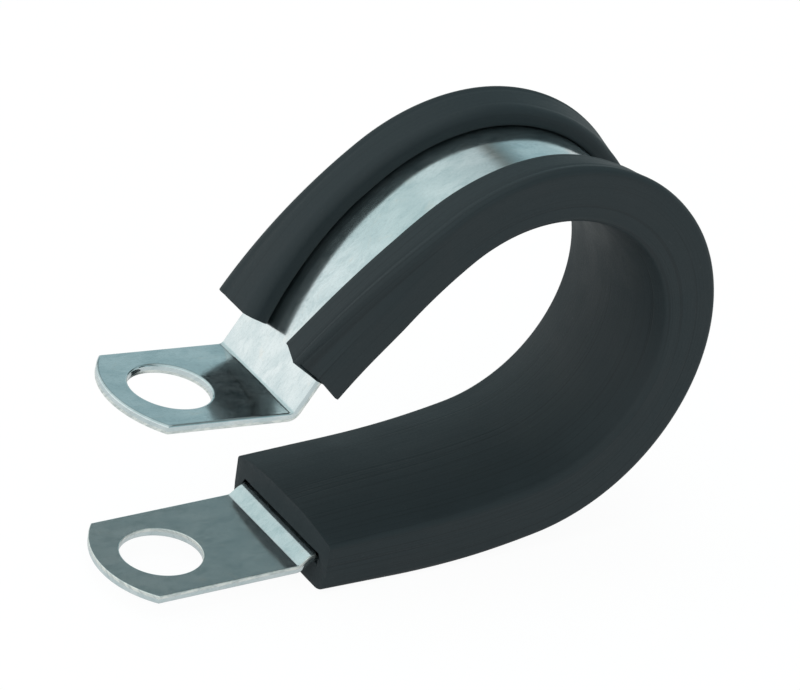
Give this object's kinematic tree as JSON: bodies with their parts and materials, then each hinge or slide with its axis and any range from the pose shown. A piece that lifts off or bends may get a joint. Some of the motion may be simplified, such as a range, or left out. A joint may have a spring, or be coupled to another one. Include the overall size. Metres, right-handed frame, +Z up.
{
  "type": "cushioned cable clip",
  "caption": "Open P clip: a folded steel strip with a round-ended holed ear at each end and a loop whose edges are wrapped in a crowned rubber channel.",
  "frame": {"origin": "centre of the lower ear's hole, on the ear's underside", "axes": "+X from the lower ear towards the loop, +Y along the axis of the loop, +Z up from the lower ear to the upper ear"},
  "size_m": [0.0694, 0.0196, 0.0476],
  "materials": {
    "zinc_plate": "bright satin",
    "rubber": "matte"
  },
  "bodies": {
    "root": {"steel_strip": "zinc_plate", "rubber_lining": "rubber"}
  },
  "joints": []
}
